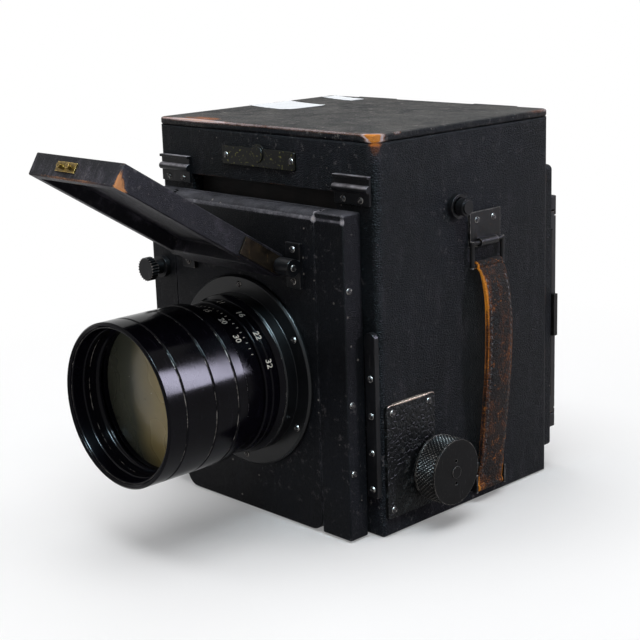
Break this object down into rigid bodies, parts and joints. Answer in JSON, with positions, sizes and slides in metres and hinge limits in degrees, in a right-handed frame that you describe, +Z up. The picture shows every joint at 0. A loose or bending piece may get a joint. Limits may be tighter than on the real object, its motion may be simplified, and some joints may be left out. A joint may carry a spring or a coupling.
{
  "type": "box reflex camera",
  "caption": "Leather-covered box reflex camera with a fast lens on a rack-focused rising front, a lens flap, a viewing hood lid, a focal-plane blind and a plate-holder back.",
  "frame": {"origin": "centre of the tripod socket's mouth, in the middle of the base", "axes": "+Z up; -Y forward, the way the lens points; +X to the side with the focusing knob and the hand strap"},
  "size_m": [0.1957, 0.2664, 0.205],
  "materials": {
    "case_leather": "fine-grained black leather covering, slightly worn at the edges",
    "front_leather": "smoother black covering with rubbed edges",
    "lid_leather": "black covering with a worn orange-brown front edge",
    "flap_leather": "smooth black covering, satin",
    "strap_leather": "black strap leather worn to brown at the edges",
    "hood_leather": "thin black folded leather",
    "bellows_leather": "thin black pleated leather",
    "lacquered_brass": "aged brass with worn lacquer",
    "raw_brass": "machined brass",
    "plate_metal": "dark lacquered plate, bare",
    "black_metal": "black lacquer worn at the edges",
    "crackle_metal": "black lacquer with fine crackle",
    "screw_metal": "slotted heads, partly blackened",
    "loop_metal": "black lacquer rubbed to metal",
    "button_metal": "dark satin button",
    "nickel": "dull old nickel",
    "knob_black": "black anodised knurled knob",
    "lens_lacquer": "glossy black lacquer with a bluish sheen",
    "lens_glass": "coated lens glass",
    "screen_glass": "ground glass",
    "silvered_glass": "surface-silvered mirror",
    "leaf_steel": "blued spring steel",
    "dark_wood": "stained mahogany",
    "dark_wood_black": "black-stained wood",
    "holder_wood": "dark ebonised wood",
    "roller_wood": "turned wood",
    "blind_cloth": "rubberised black cloth",
    "dark_slide": "matt black vulcanised sheet"
  },
  "bodies": {
    "body": {"body_shell": "case_leather", "tripod_bush": "lacquered_brass", "name_plate": "plate_metal", "front_clips": "black_metal", "guide_strips": "black_metal", "focus_plate": "crackle_metal", "case_screws": "screw_metal", "strap_bracket": "loop_metal", "strap_anchor": "loop_metal", "hand_strap": "strap_leather", "button_collar": "black_metal", "lid_hinges": "black_metal", "screen_frame": "dark_wood", "ground_glass": "screen_glass", "hood_leather": "hood_leather", "roller_plates": "black_metal", "shutter_blind": "blind_cloth", "reversing_back": "case_leather", "holder_rails": "dark_wood_black", "rack_guides": "dark_wood", "bellows_frame": "dark_wood_black", "bellows": "bellows_leather"},
    "front": {"front_standard": "front_leather", "standard_screws": "screw_metal", "racks": "raw_brass"},
    "panel": {"rising_panel": "front_leather", "hinge_brackets": "black_metal", "panel_screws": "screw_metal", "lens_flange": "lens_lacquer", "lens_tube": "lens_lacquer", "front_barrel": "lens_lacquer", "front_glass": "lens_glass", "rear_glass": "lens_glass"},
    "rise_lock": {"rise_lock": "black_metal"},
    "flap": {"lens_flap": "flap_leather", "flap_straps": "lacquered_brass", "flap_catch": "lacquered_brass"},
    "iris_ring": {"iris_ring": "lens_lacquer"},
    "leaf_1": {"iris_leaf_1": "leaf_steel"},
    "leaf_2": {"iris_leaf_2": "leaf_steel"},
    "leaf_3": {"iris_leaf_3": "leaf_steel"},
    "leaf_4": {"iris_leaf_4": "leaf_steel"},
    "leaf_5": {"iris_leaf_5": "leaf_steel"},
    "leaf_6": {"iris_leaf_6": "leaf_steel"},
    "focus_drive": {"focus_shaft": "nickel", "pinions": "raw_brass", "focus_knob": "knob_black", "knob_milling": "knob_black"},
    "mirror": {"mirror_frame": "black_metal", "mirror_glass": "silvered_glass", "mirror_lever": "nickel"},
    "lid": {"hood_lid": "lid_leather", "lid_leaves": "black_metal"},
    "plate_holder": {"plate_holder": "holder_wood"},
    "dark_slide": {"dark_slide": "dark_slide"},
    "winder": {"wind_knob": "nickel", "upper_roller": "roller_wood"},
    "lower_roller": {"lower_roller": "roller_wood"},
    "speed_dial": {"speed_dial": "nickel"},
    "release_button": {"release_button": "button_metal"}
  },
  "joints": [
    {"name": "focus_slide", "type": "slide", "parent": "body", "child": "front", "axis": [0, -1, 0], "range_m": [-0.0025, 0.06], "deforming": ["bellows"]},
    {"name": "panel_rise", "type": "slide", "parent": "front", "child": "panel", "axis": [0, 0, 1], "range_m": [0, 0.02]},
    {"name": "rise_lock_turn", "type": "hinge", "parent": "front", "child": "rise_lock", "pos_m": [-0.065, -0.0834, 0.1255], "axis": [0, -1, 0], "range_deg": [0, 180]},
    {"name": "flap_hinge", "type": "hinge", "parent": "panel", "child": "flap", "pos_m": [0, -0.0896, 0.1395], "axis": [-1, 0, 0], "range_deg": [-46, 55]},
    {"name": "iris_ring_turn", "type": "hinge", "parent": "panel", "child": "iris_ring", "pos_m": [0, -0.0966, 0.0778], "axis": [0, -1, 0], "range_deg": [0, 75]},
    {"name": "leaf_1_turn", "type": "hinge", "parent": "panel", "child": "leaf_1", "pos_m": [0.0306, -0.097, 0.0778], "axis": [0, -1, 0], "range_deg": [0, 30]},
    {"name": "leaf_2_turn", "type": "hinge", "parent": "panel", "child": "leaf_2", "pos_m": [0.0153, -0.097, 0.1043], "axis": [0, -1, 0], "range_deg": [0, 30]},
    {"name": "leaf_3_turn", "type": "hinge", "parent": "panel", "child": "leaf_3", "pos_m": [-0.0153, -0.097, 0.1043], "axis": [0, -1, 0], "range_deg": [0, 30]},
    {"name": "leaf_4_turn", "type": "hinge", "parent": "panel", "child": "leaf_4", "pos_m": [-0.0306, -0.097, 0.0778], "axis": [0, -1, 0], "range_deg": [0, 30]},
    {"name": "leaf_5_turn", "type": "hinge", "parent": "panel", "child": "leaf_5", "pos_m": [-0.0153, -0.097, 0.0513], "axis": [0, -1, 0], "range_deg": [0, 30]},
    {"name": "leaf_6_turn", "type": "hinge", "parent": "panel", "child": "leaf_6", "pos_m": [0.0153, -0.097, 0.0513], "axis": [0, -1, 0], "range_deg": [0, 30]},
    {"name": "focus_knob_turn", "type": "hinge", "parent": "body", "child": "focus_drive", "pos_m": [0, -0.032, 0.03], "axis": [-1, 0, 0], "range_deg": [-24, 573.5]},
    {"name": "mirror_swing", "type": "hinge", "parent": "body", "child": "mirror", "pos_m": [0, 0.046, 0.133], "axis": [-1, 0, 0], "range_deg": [0, 45]},
    {"name": "lid_hinge", "type": "hinge", "parent": "body", "child": "lid", "pos_m": [0, 0.0709, 0.2011], "axis": [-1, 0, 0], "range_deg": [0, 105]},
    {"name": "plate_holder_slide", "type": "slide", "parent": "body", "child": "plate_holder", "axis": [1, 0, 0], "range_m": [0, 0.12]},
    {"name": "dark_slide_slide", "type": "slide", "parent": "plate_holder", "child": "dark_slide", "axis": [1, 0, 0], "range_m": [0, 0.11]},
    {"name": "winder_turn", "type": "hinge", "parent": "body", "child": "winder", "pos_m": [-0.08, 0.0545, 0.1538], "axis": [-1, 0, 0], "range_deg": [0, 1440]},
    {"name": "lower_roller_turn", "type": "hinge", "parent": "body", "child": "lower_roller", "pos_m": [0, 0.0545, 0.03], "axis": [-1, 0, 0], "range_deg": [0, 1440]},
    {"name": "speed_dial_turn", "type": "hinge", "parent": "body", "child": "speed_dial", "pos_m": [-0.08, 0.0545, 0.03], "axis": [-1, 0, 0], "range_deg": [0, 300]},
    {"name": "release_press", "type": "slide", "parent": "body", "child": "release_button", "axis": [-1, 0, 0], "range_m": [0, 0.0035], "stiffness_N_per_m": 250, "springref_m": -0.002}
  ],
  "couplings": [
    {"joint": "leaf_1_turn", "follows": "iris_ring_turn", "ratio": 0.4},
    {"joint": "leaf_2_turn", "follows": "iris_ring_turn", "ratio": 0.4},
    {"joint": "leaf_3_turn", "follows": "iris_ring_turn", "ratio": 0.4},
    {"joint": "leaf_4_turn", "follows": "iris_ring_turn", "ratio": 0.4},
    {"joint": "leaf_5_turn", "follows": "iris_ring_turn", "ratio": 0.4},
    {"joint": "leaf_6_turn", "follows": "iris_ring_turn", "ratio": 0.4},
    {"joint": "focus_knob_turn", "follows": "focus_slide", "rad_per_m": 166.67},
    {"joint": "lower_roller_turn", "follows": "winder_turn", "ratio": 1}
  ]
}
